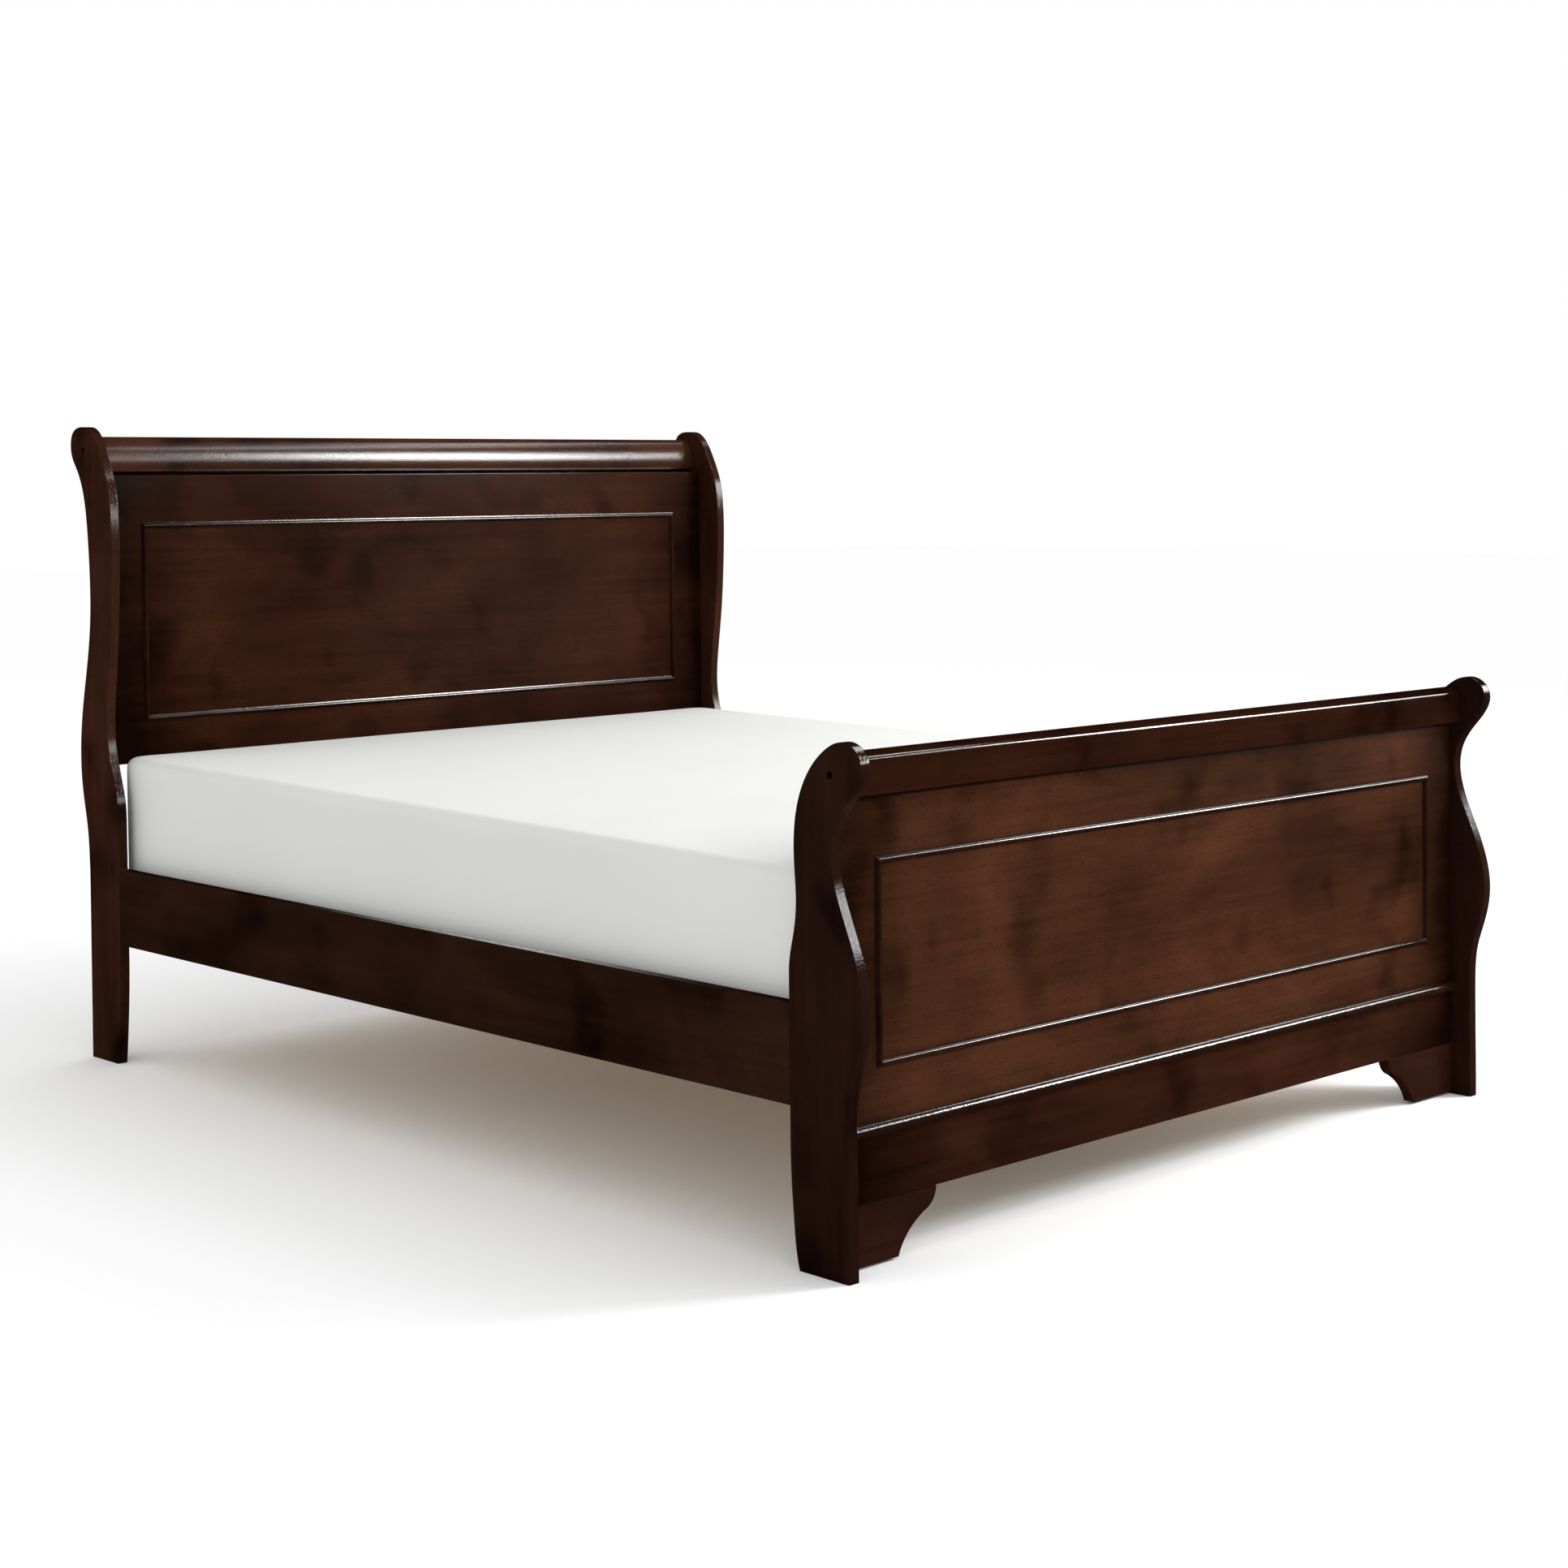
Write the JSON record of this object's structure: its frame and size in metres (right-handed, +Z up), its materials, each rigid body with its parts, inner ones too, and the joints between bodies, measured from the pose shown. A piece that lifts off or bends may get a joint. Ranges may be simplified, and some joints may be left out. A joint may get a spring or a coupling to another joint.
{
  "type": "sleigh bed",
  "caption": "Low-footed wooden sleigh bed with scrolled posts, rolled crest rails, beaded flat panels, side rails, a slatted deck and a plain mattress.",
  "frame": {"origin": "floor level, at the centre of the bed's footprint", "axes": "+X across the bed, +Y towards the headboard, +Z up"},
  "size_m": [1.6, 2.263, 1.26],
  "materials": {
    "stained_wood": "semi-gloss dark brown cherry lacquer over a mottled glaze",
    "bare_pine": "planed, unfinished softwood",
    "zinc_steel": "zinc plated sheet",
    "screw_steel": "zinc plated",
    "bronzed_bolt": "dark bronzed, satin",
    "insert_steel": "zinc plated, satin",
    "glide_nylon": "moulded, matt",
    "woven_strap": "plain woven tape",
    "mattress_cover": "fine plain knit, matt"
  },
  "bodies": {
    "frame": {"head_post_right": "stained_wood", "head_post_left": "stained_wood", "foot_post_right": "stained_wood", "foot_post_left": "stained_wood", "head_crest_rail": "stained_wood", "foot_crest_rail": "stained_wood", "head_panel": "stained_wood", "head_lower_rail": "stained_wood", "foot_panel": "stained_wood", "foot_bottom_rail": "stained_wood", "head_bead_top": "stained_wood", "head_bead_bottom": "stained_wood", "head_bead_left": "stained_wood", "head_bead_right": "stained_wood", "foot_bead_top": "stained_wood", "foot_bead_bottom": "stained_wood", "foot_bead_left": "stained_wood", "foot_bead_right": "stained_wood", "foot_waist_moulding": "stained_wood", "bracket_foot_right": "stained_wood", "bracket_foot_left": "stained_wood", "side_rail_right": "stained_wood", "side_rail_left": "stained_wood", "head_crest_cleat": "stained_wood", "foot_beam_cleat": "bare_pine", "bracket_glue_blocks": "bare_pine", "ledger_right": "bare_pine", "ledger_left": "bare_pine", "centre_beam": "bare_pine", "centre_leg_1": "bare_pine", "centre_leg_2": "bare_pine", "centre_leg_3": "bare_pine", "slat_01": "bare_pine", "slat_02": "bare_pine", "slat_03": "bare_pine", "slat_04": "bare_pine", "slat_05": "bare_pine", "slat_06": "bare_pine", "slat_07": "bare_pine", "slat_08": "bare_pine", "slat_09": "bare_pine", "slat_10": "bare_pine", "slat_11": "bare_pine", "slat_12": "bare_pine", "slat_13": "bare_pine", "corner_plates": "zinc_steel", "beam_hangers": "zinc_steel", "corner_plate_screws": "screw_steel", "ledger_screws": "screw_steel", "crest_bolts": "bronzed_bolt", "leg_insert_1": "insert_steel", "leg_insert_2": "insert_steel", "leg_insert_3": "insert_steel", "slat_webbing": "woven_strap"},
    "mattress": {"mattress": "mattress_cover"},
    "glide_1": {"glide_1": "glide_nylon"},
    "glide_2": {"glide_2": "glide_nylon"},
    "glide_3": {"glide_3": "glide_nylon"}
  },
  "joints": [
    {"name": "mattress_lift", "type": "slide", "parent": "frame", "child": "mattress", "axis": [0, 0, 1], "range_m": [0, 0.1]},
    {"name": "glide_1_thread", "type": "slide", "parent": "frame", "child": "glide_1", "axis": [0, 0, 1], "range_m": [0, 0.014]},
    {"name": "glide_2_thread", "type": "slide", "parent": "frame", "child": "glide_2", "axis": [0, 0, 1], "range_m": [0, 0.014]},
    {"name": "glide_3_thread", "type": "slide", "parent": "frame", "child": "glide_3", "axis": [0, 0, 1], "range_m": [0, 0.014]}
  ]
}
